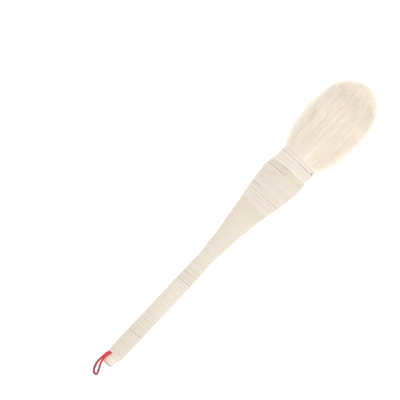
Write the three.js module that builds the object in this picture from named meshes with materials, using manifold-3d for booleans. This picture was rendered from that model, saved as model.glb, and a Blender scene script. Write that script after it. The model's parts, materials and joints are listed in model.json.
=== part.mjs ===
// Soft goat-hair brush with a handle close-wound in flat rattan cane.
//
// The brush lies on a table with its tail towards -X and its hair tuft towards +X.
// Brush coordinates: u runs along the handle's axis from just behind the tail face to the tip
// of the hair, y is sideways, z is up across the axis.  The whole brush is then tipped by
// TILT, because it rests on the tail end of the winding and on the belly of the fatter tuft.
// Millimetres, +Z up.

import * as THREE from 'three';
import { mergeVertices } from 'three/addons/utils/BufferGeometryUtils.js';
import Module from 'manifold-3d';

const wasm = await Module();
wasm.setup();

// ---------------------------------------------------------------- driving dimensions
const TAIL_FACE = 0.9;           // where the stick's end face stands on the axis
const TIP = 189.9;               // tip of the hair; tail face to tip is 189 mm
const DOWEL_R = 3.05;            // core stick
const DOWEL_END = 112.0;         // where the stick's blunt point stops inside the hair root
const WIND_START = 6.07;         // first turn of cane; the stick is bare before it
const CANE_T = 0.8;              // thickness of the cane strip
const GAP = 0.3;                 // clearance kept between touching pieces
const BELLY_FLAT = 0.4;          // how far the soft belly of the tuft is pressed flat
const CORD_D = 0.86;             // red hanging cord
const CORD_EXIT = 0.85;          // the cord comes out from under the second turn, this far inside the winding's edge
const CORD_BURY = 13.5;          // how far each end of the cord runs under the winding
const BEND_AT = 152.0;           // where the hair bends when it is pushed sideways
const SIDES = 16;                // facets round the wound handle
const TUFT_SIDES = 24;           // facets round the hair

// outer radius of the wound handle, [u, r]
const HANDLE = [
  [6.3, 4.2], [12, 4.29], [40, 4.3], [62, 4.28], [66.5, 4.15], [75, 4.14], [77, 4.3], [79.7, 4.7], [83.7, 4.95],
  [87.6, 5.27], [91.6, 5.75], [95.5, 6.31], [99.5, 6.83], [103.5, 7.41], [107.4, 8.17], [111.4, 8.95], [115.3, 9.65],
  [119.3, 10.24], [123.3, 10.75], [126.6, 11.05], [128.6, 10.94], [131.2, 10.54],
  [134.0, 10.22], [137.1, 10.12], [139.4, 9.86],
];

// outer radius of the hair, [u, r]
const HAIR = [
  [139.8, 9.25], [140.4, 10.35], [141.4, 10.95], [143.0, 11.6], [145.0, 12.45], [147.2, 13.35],
  [150.0, 14.2], [153.5, 14.9], [157.5, 15.25], [161.5, 15.6], [165.0, 15.9], [168.6, 15.75],
  [172.4, 15.45], [175.2, 15.0], [177.4, 14.5], [179.6, 13.75], [181.6, 12.75], [183.6, 11.3],
  [185.4, 9.7], [187.2, 7.7], [188.6, 5.4], [189.5, 3.0], [189.9, 0],
];

// sideways bow of the hand-wound handle, [u, y]
const BOW = [
  [-8, -0.44], [3, -0.42], [8, -0.34], [14, -0.2], [22, -0.2], [31, -0.19], [49, -0.06], [60, 0.06], [82, 0.34],
  [100, 0.64], [112, 0.42], [122, 0.24], [131, -0.04], [140, -0.19], [165, -0.24], [176, -0.18], [184, -0.22], [192, -0.3],
];

// where each line between two turns of cane crosses the top of the handle
const TURNS = [
  6.2, 7.7, 9.0, 10.4, 11.8, 13.1, 14.6, 16.0, 17.3, 18.7, 20.2, 21.8, 23.1, 24.7, 26.1, 27.6, 29.1, 30.4,
  32.0, 33.7, 35.2, 36.8, 38.4, 40.0, 41.7, 43.4, 45.2, 46.6, 48.4, 50.1, 51.8, 53.6, 55.3, 56.95, 58.5,
  60.0, 61.4, 62.8, 64.2, 65.7, 67.1, 68.6, 70.3, 71.8, 73.4, 75.0, 76.6, 78.2, 79.8, 81.3, 82.7, 84.1,
  85.8, 87.3, 88.6, 89.9, 91.2, 92.6, 94.2, 95.7, 97.2, 98.8, 100.4, 102.0, 103.6, 105.0, 106.4, 107.7,
  109.2, 110.6, 112.2, 114.0, 115.5, 116.9, 118.6, 119.9, 121.4, 122.8, 124.2, 125.5, 126.9, 128.6,
  129.9, 131.7, 133.6, 135.6, 137.6,
];

// the lengths of cane, in the order they are wound: [name, first turn, last turn, counted in TURNS]
const STRIPS = [
  ['cane_winding_tail', -1, 11],
  ['cane_winding_shaft_rear', 11, 33],
  ['cane_winding_shaft_front', 33, 48],
  ['cane_winding_flare', 48, 64],
  ['cane_winding_swell', 64, 81],
  ['cane_winding_neck', 81, 83],
  ['cane_winding_collar', 83, 87],
];
const TURN_GAP = 0.12;           // clearance between neighbouring turns
const CANE_EDGE = 0.26;          // how much thinner the half-round strip is at its edges
const WIND_FROM = 55;            // angle where the cane starts, from +Y towards +Z, degrees
const JOIN_AT = 270;             // angle where one length ends and the next begins, under the handle
const BAND = [137.78, 139.4];    // finishing band over the mouth of the collar
const BAND_LIFT = 0.16;

// thread ties round the root of the hair: [name, centre, width]
const TIES = [
  ['root_tie_rear', 95.5, 3.0],
  ['root_tie_middle', 109.0, 4.0],
  ['root_tie_front', 133.5, 5.0],
];

// ---------------------------------------------------------------- helpers
// smooth curve through [x, value] pairs (monotone cubic, so that it never overshoots)
function curve(table) {
  const n = table.length;
  const d = [];
  for (let i = 0; i < n - 1; i++) d.push((table[i + 1][1] - table[i][1]) / (table[i + 1][0] - table[i][0]));
  const m = [d[0]];
  for (let i = 1; i < n - 1; i++) m.push(d[i - 1] * d[i] <= 0 ? 0 : (2 * d[i - 1] * d[i]) / (d[i - 1] + d[i]));
  m.push(d[n - 2]);
  return (x) => {
    if (x <= table[0][0]) return table[0][1];
    if (x >= table[n - 1][0]) return table[n - 1][1];
    let i = 0;
    while (x > table[i + 1][0]) i++;
    const h = table[i + 1][0] - table[i][0];
    const t = (x - table[i][0]) / h;
    const t2 = t * t, t3 = t2 * t;
    return (2 * t3 - 3 * t2 + 1) * table[i][1] + (t3 - 2 * t2 + t) * h * m[i]
      + (-2 * t3 + 3 * t2) * table[i + 1][1] + (t3 - t2) * h * m[i + 1];
  };
}

const handleR = curve(HANDLE);
const hairR = curve(HAIR);
const bow = curve(BOW);

// inside radius of the cane; behind the hair root it lies on the stick itself
const caneBore = (u) => (u < 85.5 ? DOWEL_R + GAP : DOWEL_R + GAP
  + (handleR(u) - CANE_T - DOWEL_R - GAP) * Math.min(1, (u - 85.5) / 3));
// outside of the hair root, under the cane
const rootR = (u) => handleR(u) - CANE_T - GAP - 0.05;

// one closed solid: shared vertices merged, slivers dropped, faces pointing out
function solid(geometry) {
  const g = geometry.clone();
  for (const a of Object.keys(g.attributes)) if (a !== 'position') g.deleteAttribute(a);
  const merged = mergeVertices(g.index ? g : mergeVertices(g, 1e-4), 1e-4);
  const src = merged.index.array, out = [];
  for (let i = 0; i < src.length; i += 3) {
    const [a, b, c] = [src[i], src[i + 1], src[i + 2]];
    if (a !== b && b !== c && c !== a) out.push(a, b, c);
  }
  const p = merged.attributes.position;
  let volume = 0;
  const A = new THREE.Vector3(), B = new THREE.Vector3(), C = new THREE.Vector3();
  for (let i = 0; i < out.length; i += 3) {
    A.fromBufferAttribute(p, out[i]); B.fromBufferAttribute(p, out[i + 1]); C.fromBufferAttribute(p, out[i + 2]);
    volume += A.dot(B.cross(C)) / 6;
  }
  if (volume < 0) for (let i = 0; i < out.length; i += 3) [out[i + 1], out[i + 2]] = [out[i + 2], out[i + 1]];
  const r = new THREE.BufferGeometry();
  r.setAttribute('position', new THREE.BufferAttribute(new Float32Array(p.array), 3));
  r.setIndex(out);
  r.computeVertexNormals();
  return r;
}

// profile [[u, r], ...] turned round the handle's axis, with one facet facing straight down
function turned(profile, sides) {
  const g = new THREE.LatheGeometry(profile.map(([u, r]) => new THREE.Vector2(r, u)), sides, Math.PI / sides);
  g.rotateZ(-Math.PI / 2);
  return solid(g);
}

const toManifold = (g) => new wasm.Manifold(new wasm.Mesh({
  numProp: 3,
  vertProperties: new Float32Array(g.attributes.position.array),
  triVerts: new Uint32Array(g.index.array),
}));

function fromManifold(m) {
  const mesh = m.getMesh();
  const g = new THREE.BufferGeometry();
  g.setAttribute('position', new THREE.BufferAttribute(new Float32Array(mesh.vertProperties), 3));
  g.setIndex(Array.from(mesh.triVerts));
  g.computeVertexNormals();
  return g;
}

const cut = (g, tool) => fromManifold(toManifold(g).subtract(toManifold(solid(tool))));

// every piece follows the same slight sideways bow
function bowed(g) {
  const p = g.attributes.position;
  for (let i = 0; i < p.count; i++) p.setY(i, p.getY(i) + bow(p.getX(i)));
  g.computeVertexNormals();
  return g;
}

// round cord along points; the ends are square to the path
function cord(points, diameter, steps) {
  const section = new THREE.Shape();
  for (let i = 0; i < 8; i++) {
    const a = ((i + 0.5) * Math.PI) / 4;
    const [x, y] = [(Math.cos(a) * diameter) / 2, (Math.sin(a) * diameter) / 2];
    if (i) section.lineTo(x, y); else section.moveTo(x, y);
  }
  section.closePath();
  const path = new THREE.CatmullRomCurve3(points.map((q) => new THREE.Vector3(...q)), false, 'centripetal');
  return solid(new THREE.ExtrudeGeometry(section, { steps, bevelEnabled: false, extrudePath: path }));
}

function piece(name, geometry, color, roughness, metalness = 0) {
  const mesh = new THREE.Mesh(geometry, new THREE.MeshStandardMaterial({ color, roughness, metalness }));
  mesh.name = name;
  return mesh;
}

// ---------------------------------------------------------------- stance on the table
// The tail end of the winding and the pressed belly of the tuft both touch z = 0.
const FLAT = (r, sides) => r * Math.cos(Math.PI / sides);          // a facet sits nearer than its corners
const TAIL_U = 7.6, BELLY_U = 165.0;
const tailDrop = FLAT(handleR(TAIL_U), SIDES);
const bellyDrop = FLAT(hairR(BELLY_U), TUFT_SIDES) - BELLY_FLAT;
const TILT = Math.asin((bellyDrop - tailDrop) / (BELLY_U - TAIL_U));
const AXIS_Z0 = tailDrop * Math.cos(TILT) - TAIL_U * Math.sin(TILT);  // height of the axis over the table at u = 0

// hair that would sink through the table is pressed flat against it
function settled(g) {
  const p = g.attributes.position;
  for (let i = 0; i < p.count; i++) {
    const floor = -(AXIS_Z0 + p.getX(i) * Math.sin(TILT)) / Math.cos(TILT);
    if (p.getZ(i) < floor) p.setZ(i, floor);
  }
  g.computeVertexNormals();
  return g;
}

// ---------------------------------------------------------------- handle
const handle = new THREE.Group();

// core stick: rounded tail end, slot for the cord on its flank, blunt point inside the hair root
{
  let g = turned([
    [TAIL_FACE, 0], [TAIL_FACE, 1.75], [TAIL_FACE + 0.16, 2.3], [TAIL_FACE + 0.55, 2.78], [TAIL_FACE + 1.15, DOWEL_R], [60, DOWEL_R],
    [DOWEL_END - 6, DOWEL_R], [DOWEL_END, 1.9], [DOWEL_END, 0],
  ], SIDES);
  const slot = new THREE.BoxGeometry(CORD_BURY + 2.2, 3.0, 3.0);
  slot.translate(5.5 + (CORD_BURY + 2.2) / 2, 2.02 + 1.5, 0);
  slot.rotateX((19 * Math.PI) / 180);
  g = cut(g, slot);
  handle.add(piece('core_dowel', bowed(g), 0xf2dcb8, 0.6));
}

// lengths of cane, each one helix of half-round strip
const PIN_U = 138.5, PIN_ANGLE = (151 * Math.PI) / 180;   // pin between the ends of the finishing band, angle from +Y towards +Z
function pinTool(radius, r0, r1, sides) {
  const g = new THREE.CylinderGeometry(radius, radius, r1 - r0, sides);
  g.translate(0, (r0 + r1) / 2, 0);
  g.rotateX(PIN_ANGLE);
  g.translate(PIN_U, 0, 0);
  return solid(g);
}

// Line between the turns at angle phi (in turns, counted from +Y towards +Z round the handle).
// The first turns start out square to the handle and pick up their slant late in each round, and
// the first edge of all dips towards the tail on the -Y side.
function turnLine(phi) {
  const x = phi - 0.25, n = TURNS.length - 1;
  if (x <= 0) return TURNS[0] + x * 0.3;
  if (x >= n) return TURNS[n] + (x - n) * (TURNS[n] - TURNS[n - 1]);
  const i = Math.min(n - 1, Math.floor(x));
  const dip = i ? 0 : 0.58 * (Math.exp(-(((x - 0.27) / 0.14) ** 2)) - 0.024);
  return TURNS[i] + (x - i) ** (1 + 4 * 0.55 ** i) * (TURNS[i + 1] - TURNS[i]) - dip;
}

// one length of half-round strip, wound from phi0 to phi1
function wound(phi0, phi1, edges, lift = 0) {
  const at = [];
  for (let j = Math.ceil(phi0 * SIDES - 0.5 + 1e-6); (j + 0.5) / SIDES < phi1 - 1e-6; j++) at.push((j + 0.5) / SIDES);
  if (at[0] - phi0 < 0.15 / SIDES) at.shift();
  if (phi1 - at[at.length - 1] < 0.15 / SIDES) at.pop();
  at.unshift(phi0);
  at.push(phi1);
  const position = [], index = [], m = 5;
  for (const phi of at) {
    const [a, b] = edges(phi);
    const mid = (a + b) / 2;
    const angle = phi * 2 * Math.PI;
    for (const [u, r] of [
      [a, caneBore(a) + lift], [b, caneBore(b) + lift], [b, handleR(b) - CANE_EDGE + lift],
      [mid, handleR(mid) + lift], [a, handleR(a) - CANE_EDGE + lift],
    ]) position.push(u, r * Math.cos(angle), r * Math.sin(angle));
  }
  for (let i = 0; i < at.length - 1; i++) for (let k = 0; k < m; k++) {
    const p = i * m + k, q = i * m + ((k + 1) % m);
    index.push(p, q, q + m, p, q + m, p + m);
  }
  const e = (at.length - 1) * m;
  for (let k = 1; k < m - 1; k++) { index.push(0, k + 1, k); index.push(e, e + k, e + k + 1); }
  const g = new THREE.BufferGeometry();
  g.setAttribute('position', new THREE.BufferAttribute(new Float32Array(position), 3));
  g.setIndex(index);
  return solid(g);
}

for (const [name, first, last] of STRIPS) {
  const start = first < 0 ? WIND_FROM / 360 : first - 1 + JOIN_AT / 360;
  let end = last - 1 + JOIN_AT / 360;
  const joint = 0.3 / (2 * Math.PI * handleR(TURNS[Math.min(last, TURNS.length - 1)]));
  const stop = BAND[0] - TURN_GAP * 1.4;
  if (name === 'cane_winding_collar') while (stop - turnLine(end) < 0.45) end -= 0.01;
  const g = wound(start + (first < 0 ? 0 : joint), end, (phi) => [
    turnLine(phi) + TURN_GAP / 2, Math.min(turnLine(phi + 1) - TURN_GAP / 2, stop),
  ]);
  handle.add(piece(name, bowed(g), 0xe9dcc6, 0.5));
}

// finishing band: one turn whose ends meet under the pin
{
  const joint = 1.7 / (2 * Math.PI * handleR(PIN_U));
  const phi = PIN_ANGLE / (2 * Math.PI);
  const g = wound(phi + joint / 2, phi + 1 - joint / 2, () => BAND, BAND_LIFT);
  handle.add(piece('cane_collar_band', bowed(g), 0xe9dcc6, 0.5));
}

// pin that holds both ends of the finishing band
{
  const r = handleR(PIN_U);
  const shank = toManifold(pinTool(0.25, r - 2.9, r + 0.3, 8));
  const head = toManifold(pinTool(0.5, r + 0.1, r + 0.42, 10));
  handle.add(piece('strip_end_pin', bowed(fromManifold(shank.add(head))), 0x4a4036, 0.4, 0.8));
}

// root of the hair, bound round the point of the stick
{
  const outer = [];
  const stops = [90.2, 92.5, 99, 102, 105.5, 114, 119, 124, 127, 130, 139.1];
  for (const u of stops) outer.push([u, rootR(u)]);
  for (const [, c, w] of TIES) {
    const a = c - w / 2 - GAP, b = c + w / 2 + GAP;
    outer.push([a, rootR(a)], [a + 1e-3, rootR(c) - 0.95], [b - 1e-3, rootR(c) - 0.95], [b, rootR(b)]);
  }
  outer.sort((p, q) => p[0] - q[0]);
  let g = turned([
    [118, 0], [DOWEL_END + 0.4, DOWEL_R + GAP], [90.2, DOWEL_R + GAP], ...outer, [139.1, 0],
  ], SIDES);
  g = cut(g, pinTool(0.56, 5.6, 12, 10));
  handle.add(piece('hair_root_bundle', bowed(g), 0xefe2cc, 0.9));
}

// glue in front of the stick's point
handle.add(piece('glue_plug', bowed(turned([
  [DOWEL_END + 0.35, 0], [DOWEL_END + 0.35, 2.85], [DOWEL_END + 0.7, 2.8], [116.9, 0.35], [117.2, 0],
], SIDES)), 0x9a6a34, 0.35));

// waxed hemp thread ties
for (const [name, c, w] of TIES) {
  const r0 = rootR(c) - 0.62, r1 = Math.min(rootR(c - w / 2), rootR(c + w / 2), rootR(c)) - 0.03;
  const n = Math.round(w), s = w / n;
  const profile = [[c - w / 2, r0], [c - w / 2, r1 - 0.12]];
  for (let i = 0; i < n; i++) profile.push([c - w / 2 + (i + 0.5) * s, r1], [c - w / 2 + (i + 1) * s, r1 - 0.12]);
  profile.push([c + w / 2, r0], [c - w / 2, r0]);
  handle.add(piece(name, bowed(turned(profile, SIDES)), 0xd8c49a, 0.85));
}

// the two ends of the cord, in the stick's slot under the tail winding
const tails = { cord_end_lower: 3, cord_end_upper: 35 };
for (const [name, deg] of Object.entries(tails)) {
  const a = (deg * Math.PI) / 180;
  const at = (u, r) => [u, r * Math.cos(a), r * Math.sin(a)];
  const g = cord([at(WIND_START + CORD_EXIT + 0.1, 2.8), at(WIND_START + 3.2, 2.76), at(WIND_START + 6, 2.74), at(WIND_START + CORD_BURY, 2.74)], CORD_D, 8);
  handle.add(piece(name, bowed(g), 0xc8283c, 0.8));
}

// ---------------------------------------------------------------- hair tuft
const tuft = new THREE.Group();

// inner bud of longer, springier hair
const innerTip = 184.2;
const inner = (u) => Math.max(0, Math.min(hairR(139.9 + (u - 139.9) * 1.135) - 3.0, 12.2));
{
  const profile = [[139.85, 0]];
  for (const u of [139.85, 141.5, 144, 148, 154, 160, 167, 172, 176, 179, 181.5]) profile.push([u, Math.max(6.3, inner(u)) * (u > 176 ? Math.sqrt(Math.max(0, 1 - ((u - 176) / 8.2) ** 2)) : 1)]);
  profile.push([183.2, 3.2], [innerTip, 0]);
  tuft.add(piece('inner_hair_tuft', settled(bowed(turned(profile, TUFT_SIDES))), 0xf4e8d2, 0.95));
}

// outer cover of fine soft hair, a cup that is open towards the handle
{
  const outerProfile = [[TIP, 0]];
  for (let i = HAIR.length - 2; i >= 0; i--) outerProfile.push(HAIR[i]);
  const innerProfile = [];
  for (const u of [139.8, 141.5, 144, 148, 154, 160, 167, 172, 176, 179, 181.5]) {
    const base = Math.max(6.3, inner(u)) * (u > 176 ? Math.sqrt(Math.max(0, 1 - ((u - 176) / 8.2) ** 2)) : 1);
    innerProfile.push([u + (u > 176 ? 0.2 : 0), base + 0.32]);
  }
  innerProfile.push([183.5, 3.5], [innerTip + 0.35, 0]);
  tuft.add(piece('outer_hair_cover', settled(bowed(turned([...outerProfile, ...innerProfile], TUFT_SIDES))), 0xf8ecd8, 0.95));
}

// ---------------------------------------------------------------- hanging loop, lying down beside the tail
// table coordinates: x along the brush from the tail, y sideways, z over the table
const LOOP = [
  [6.35, 2.93, 4.26], [5.01, 3.35, 4.13], [4.10, 3.50, 3.94], [3.20, 3.60, 3.68], [2.32, 3.66, 3.34],
  [1.46, 3.71, 2.97], [0.59, 3.77, 2.62], [-0.30, 3.83, 2.31], [-1.20, 3.78, 2.04], [-2.10, 3.66, 1.79],
  [-2.99, 3.46, 1.53], [-3.84, 3.16, 1.26], [-4.66, 2.82, 0.96], [-5.48, 2.47, 0.67], [-6.19, 1.86, 0.61],
  [-6.64, 1.10, 0.90], [-6.74, 0.39, 1.49], [-6.46, -0.07, 2.25], [-5.88, -0.18, 2.98], [-5.13, 0.04, 3.49],
  [-4.34, 0.40, 3.84], [-3.55, 0.78, 4.20], [-2.77, 1.17, 4.54], [-1.99, 1.57, 4.90], [-1.21, 1.95, 5.27],
  [-0.40, 2.26, 5.63], [0.46, 2.54, 5.92], [1.36, 2.74, 6.10], [2.30, 2.81, 6.17], [3.24, 2.81, 6.18],
  [4.18, 2.75, 6.16], [5.11, 2.64, 6.13], [6.42, 2.36, 6.07],
];
const loop = new THREE.Group();
loop.add(piece('hanging_cord_loop', cord(LOOP, CORD_D, 52), 0xc8283c, 0.8));

// ---------------------------------------------------------------- assembly
const brush = new THREE.Group();
brush.add(handle, tuft);
brush.rotation.y = -TILT;
brush.position.z = AXIS_Z0;

const object = new THREE.Group();
object.name = 'rattan_wound_brush';
object.add(brush, loop);

// origin: middle of the brush's box, on the table
object.updateMatrixWorld(true);
const box = new THREE.Box3().setFromObject(brush, true);
for (const g of [brush, loop]) {
  g.position.x -= (box.min.x + box.max.x) / 2;
  g.position.y -= (box.min.y + box.max.y) / 2;
  g.position.z -= box.min.z;
}
object.updateMatrixWorld(true);

object.userData = { tilt: TILT, axisHeight: AXIS_Z0, bendAt: BEND_AT, tailFace: TAIL_FACE, bow: { tail: bow(TAIL_FACE), bend: bow(BEND_AT) } };

export default object;
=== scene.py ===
import bpy
import json
import math
import numpy as np
from mathutils import Matrix, Vector


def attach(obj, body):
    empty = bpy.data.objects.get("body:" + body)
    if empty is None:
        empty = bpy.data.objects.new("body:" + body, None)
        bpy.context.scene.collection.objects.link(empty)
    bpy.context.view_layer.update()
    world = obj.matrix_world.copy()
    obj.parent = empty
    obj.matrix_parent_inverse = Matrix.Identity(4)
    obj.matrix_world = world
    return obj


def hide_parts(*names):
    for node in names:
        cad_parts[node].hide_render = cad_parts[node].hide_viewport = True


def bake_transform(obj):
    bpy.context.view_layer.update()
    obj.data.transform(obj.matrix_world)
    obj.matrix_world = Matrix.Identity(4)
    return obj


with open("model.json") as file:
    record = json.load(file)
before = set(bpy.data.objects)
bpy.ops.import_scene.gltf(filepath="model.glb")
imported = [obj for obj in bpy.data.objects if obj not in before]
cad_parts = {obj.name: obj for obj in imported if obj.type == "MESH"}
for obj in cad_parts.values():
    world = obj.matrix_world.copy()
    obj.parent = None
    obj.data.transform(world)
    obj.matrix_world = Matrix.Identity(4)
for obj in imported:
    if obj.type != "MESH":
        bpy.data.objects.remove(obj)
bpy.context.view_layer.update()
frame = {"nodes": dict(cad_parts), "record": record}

record = frame["record"]

# ------------------------------------------------------------------ the brush's own coordinates
# u runs along the handle from the tail face to the hair tip, y is sideways, z is up across the
# axis, all in millimetres.  The mount on the tail face says where that frame lies in the row frame.
mounts = {m["name"]: m for m in record["mounts"]}
tail = mounts["tail_face"]
TILT = math.asin(-tail["axis"][2])
COS, SIN = math.cos(TILT), math.sin(TILT)

TAIL_FACE = 0.9
CANE_EDGE = 0.14
WIND_FROM = 55 / 360
JOIN_AT = 270 / 360
BAND = (137.78, 139.4)
BAND_LIFT = 0.16
PIN_U, PIN_ANGLE = 138.5, math.radians(151)
DOWEL_R, DOWEL_END = 3.05, 112.0
CORD_D = 0.86

HANDLE = [
    (6.3, 4.2), (12, 4.29), (40, 4.3), (62, 4.28), (66.5, 4.15), (75, 4.14), (77, 4.3), (79.7, 4.7), (83.7, 4.95),
    (87.6, 5.27), (91.6, 5.75), (95.5, 6.31), (99.5, 6.83), (103.5, 7.41), (107.4, 8.17), (111.4, 8.95), (115.3, 9.65),
    (119.3, 10.24), (123.3, 10.75), (126.6, 11.05), (128.6, 10.94), (131.2, 10.54),
    (134.0, 10.22), (137.1, 10.12), (139.4, 9.86)]
HAIR = [
    (139.8, 9.25), (140.4, 10.35), (141.4, 10.95), (143.0, 11.6), (145.0, 12.45), (147.2, 13.35),
    (150.0, 14.2), (153.5, 14.9), (157.5, 15.25), (161.5, 15.6), (165.0, 15.9), (168.6, 15.75),
    (172.4, 15.45), (175.2, 15.0), (177.4, 14.5), (179.6, 13.75), (181.6, 12.75), (183.6, 11.3),
    (185.4, 9.7), (187.2, 7.7), (188.6, 5.4), (189.5, 3.0), (189.9, 0)]
BOW = [
    (-8, -0.44), (3, -0.42), (8, -0.34), (14, -0.2), (22, -0.2), (31, -0.19), (49, -0.06), (60, 0.06), (82, 0.34),
    (100, 0.64), (112, 0.42), (122, 0.24), (131, -0.04), (140, -0.19), (165, -0.24), (176, -0.18), (184, -0.22), (192, -0.3)]
TURNS = np.array([
    6.2, 7.7, 9.0, 10.4, 11.8, 13.1, 14.6, 16.0, 17.3, 18.7, 20.2, 21.8, 23.1, 24.7, 26.1, 27.6, 29.1, 30.4,
    32.0, 33.7, 35.2, 36.8, 38.4, 40.0, 41.7, 43.4, 45.2, 46.6, 48.4, 50.1, 51.8, 53.6, 55.3, 56.95, 58.5,
    60.0, 61.4, 62.8, 64.2, 65.7, 67.1, 68.6, 70.3, 71.8, 73.4, 75.0, 76.6, 78.2, 79.8, 81.3, 82.7, 84.1,
    85.8, 87.3, 88.6, 89.9, 91.2, 92.6, 94.2, 95.7, 97.2, 98.8, 100.4, 102.0, 103.6, 105.0, 106.4, 107.7,
    109.2, 110.6, 112.2, 114.0, 115.5, 116.9, 118.6, 119.9, 121.4, 122.8, 124.2, 125.5, 126.9, 128.6,
    129.9, 131.7, 133.6, 135.6, 137.6])
STRIPS = [
    ("cane_winding_tail", -1, 11), ("cane_winding_shaft_rear", 11, 33),
    ("cane_winding_shaft_front", 33, 48), ("cane_winding_flare", 48, 64),
    ("cane_winding_swell", 64, 81), ("cane_winding_neck", 81, 83), ("cane_winding_collar", 83, 87)]
LOOP = [
    (6.35, 2.93, 4.26), (5.01, 3.35, 4.13), (4.10, 3.50, 3.94), (3.20, 3.60, 3.68), (2.32, 3.66, 3.34),
    (1.46, 3.71, 2.97), (0.59, 3.77, 2.62), (-0.30, 3.83, 2.31), (-1.20, 3.78, 2.04), (-2.10, 3.66, 1.79),
    (-2.99, 3.46, 1.53), (-3.84, 3.16, 1.26), (-4.66, 2.82, 0.96), (-5.48, 2.47, 0.67), (-6.19, 1.86, 0.61),
    (-6.64, 1.10, 0.90), (-6.74, 0.39, 1.49), (-6.46, -0.07, 2.25), (-5.88, -0.18, 2.98), (-5.13, 0.04, 3.49),
    (-4.34, 0.40, 3.84), (-3.55, 0.78, 4.20), (-2.77, 1.17, 4.54), (-1.99, 1.57, 4.90), (-1.21, 1.95, 5.27),
    (-0.40, 2.26, 5.63), (0.46, 2.54, 5.92), (1.36, 2.74, 6.10), (2.30, 2.81, 6.17), (3.24, 2.81, 6.18),
    (4.18, 2.75, 6.16), (5.11, 2.64, 6.13), (6.42, 2.36, 6.07)]


def curve(table):
    """Smooth curve through (x, value) pairs, a monotone cubic, for a number or an array."""
    x = np.array([p[0] for p in table], float)
    y = np.array([p[1] for p in table], float)
    d = np.diff(y) / np.diff(x)
    m = np.empty(len(x))
    m[0], m[-1] = d[0], d[-1]
    p = d[:-1] * d[1:]
    m[1:-1] = np.where(p > 0, 2 * p / np.where(p > 0, d[:-1] + d[1:], 1), 0)

    def at(v):
        v = np.clip(np.asarray(v, float), x[0], x[-1])
        i = np.clip(np.searchsorted(x, v, side="right") - 1, 0, len(x) - 2)
        h = x[i + 1] - x[i]
        t = (v - x[i]) / h
        t2, t3 = t * t, t * t * t
        return ((2 * t3 - 3 * t2 + 1) * y[i] + (t3 - 2 * t2 + t) * h * m[i]
                + (-2 * t3 + 3 * t2) * y[i + 1] + (t3 - t2) * h * m[i + 1])
    return at


handle_r, hair_r, bow = curve(HANDLE), curve(HAIR), curve(BOW)
ORIGIN = np.array(tail["pos_m"], float) * 1000 - np.array([TAIL_FACE * COS, float(bow(TAIL_FACE)), TAIL_FACE * SIN])


def place(p, bowed=True):
    """Points in brush coordinates, in mm, to the row frame, in metres."""
    p = np.asarray(p, float)
    u, y, z = p[..., 0], p[..., 1], p[..., 2]
    if bowed:
        y = y + bow(u)
    return np.stack([ORIGIN[0] + u * COS - z * SIN, ORIGIN[1] + y, ORIGIN[2] + u * SIN + z * COS], -1) / 1000


def table(p):
    """Points of the cord's route, x along the brush and z over the table, in mm, to metres."""
    return (np.asarray(p, float) + np.array([ORIGIN[0], ORIGIN[1], 0])) / 1000


def smooth(x, a, b):
    t = np.clip((np.asarray(x, float) - a) / (b - a), 0, 1)
    return t * t * (3 - 2 * t)


class Wave:
    """Smooth seeded noise of one number, about -1 to 1."""

    def __init__(self, seed, n=4096):
        self.v = np.random.default_rng(seed).uniform(-1, 1, n)
        self.n = n

    def __call__(self, x):
        x = np.asarray(x, float) + 517.3
        i = np.floor(x).astype(int)
        t = x - i
        a, b, c, d = (self.v[(i + k) % self.n] for k in (-1, 0, 1, 2))
        return b + 0.5 * t * (c - a + t * (2 * a - 5 * b + 4 * c - d + t * (3 * (b - c) + d - a)))


class Field:
    """Smooth seeded noise of two numbers, the first one periodic."""

    def __init__(self, seed, around, n=256):
        self.v = np.random.default_rng(seed).uniform(-1, 1, (around, n))
        self.around, self.n = around, n

    def __call__(self, a, b):
        """a in turns, b in lattice steps."""
        x = (np.asarray(a, float) % 1) * self.around
        y = np.asarray(b, float) + 31.7
        i, j = np.floor(x).astype(int), np.floor(y).astype(int)
        s, t = x - i, y - j
        s, t = s * s * (3 - 2 * s), t * t * (3 - 2 * t)
        v = lambda p, q: self.v[p % self.around, q % self.n]
        return ((v(i, j) * (1 - s) + v(i + 1, j) * s) * (1 - t)
                + (v(i, j + 1) * (1 - s) + v(i + 1, j + 1) * s) * t)


# ------------------------------------------------------------------ mesh and material helpers
def build(name, verts, quads=None, tris=None, uvs=None, attributes=None, material=None, flat=False):
    """A mesh object from arrays.  uvs is {layer: array of one uv for each corner}, quads first."""
    mesh = bpy.data.meshes.new(name)
    faces = [(f, k) for f, k in ((quads, 4), (tris, 3)) if f is not None and len(f)]
    corners = np.concatenate([np.asarray(f, np.int32).ravel() for f, _ in faces])
    sizes = np.concatenate([np.full(len(f), k, np.int32) for f, k in faces])
    mesh.vertices.add(len(verts))
    mesh.vertices.foreach_set("co", np.asarray(verts, np.float32).ravel())
    mesh.loops.add(len(corners))
    mesh.loops.foreach_set("vertex_index", corners)
    mesh.polygons.add(len(sizes))
    mesh.polygons.foreach_set("loop_start", np.concatenate([[0], np.cumsum(sizes)[:-1]]).astype(np.int32))
    mesh.polygons.foreach_set("use_smooth", np.full(len(sizes), not flat))
    for layer, data in (uvs or {}).items():
        mesh.uv_layers.new(name=layer).data.foreach_set("uv", np.asarray(data, np.float32).ravel())
    for key, data in (attributes or {}).items():
        mesh.attributes.new(key, "FLOAT", "POINT").data.foreach_set("value", np.asarray(data, np.float32).ravel())
    mesh.update(calc_edges=True)
    mesh.validate()
    obj = bpy.data.objects.new(name, mesh)
    bpy.context.collection.objects.link(obj)
    if material is not None:
        mesh.materials.append(material)
    return obj


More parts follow.
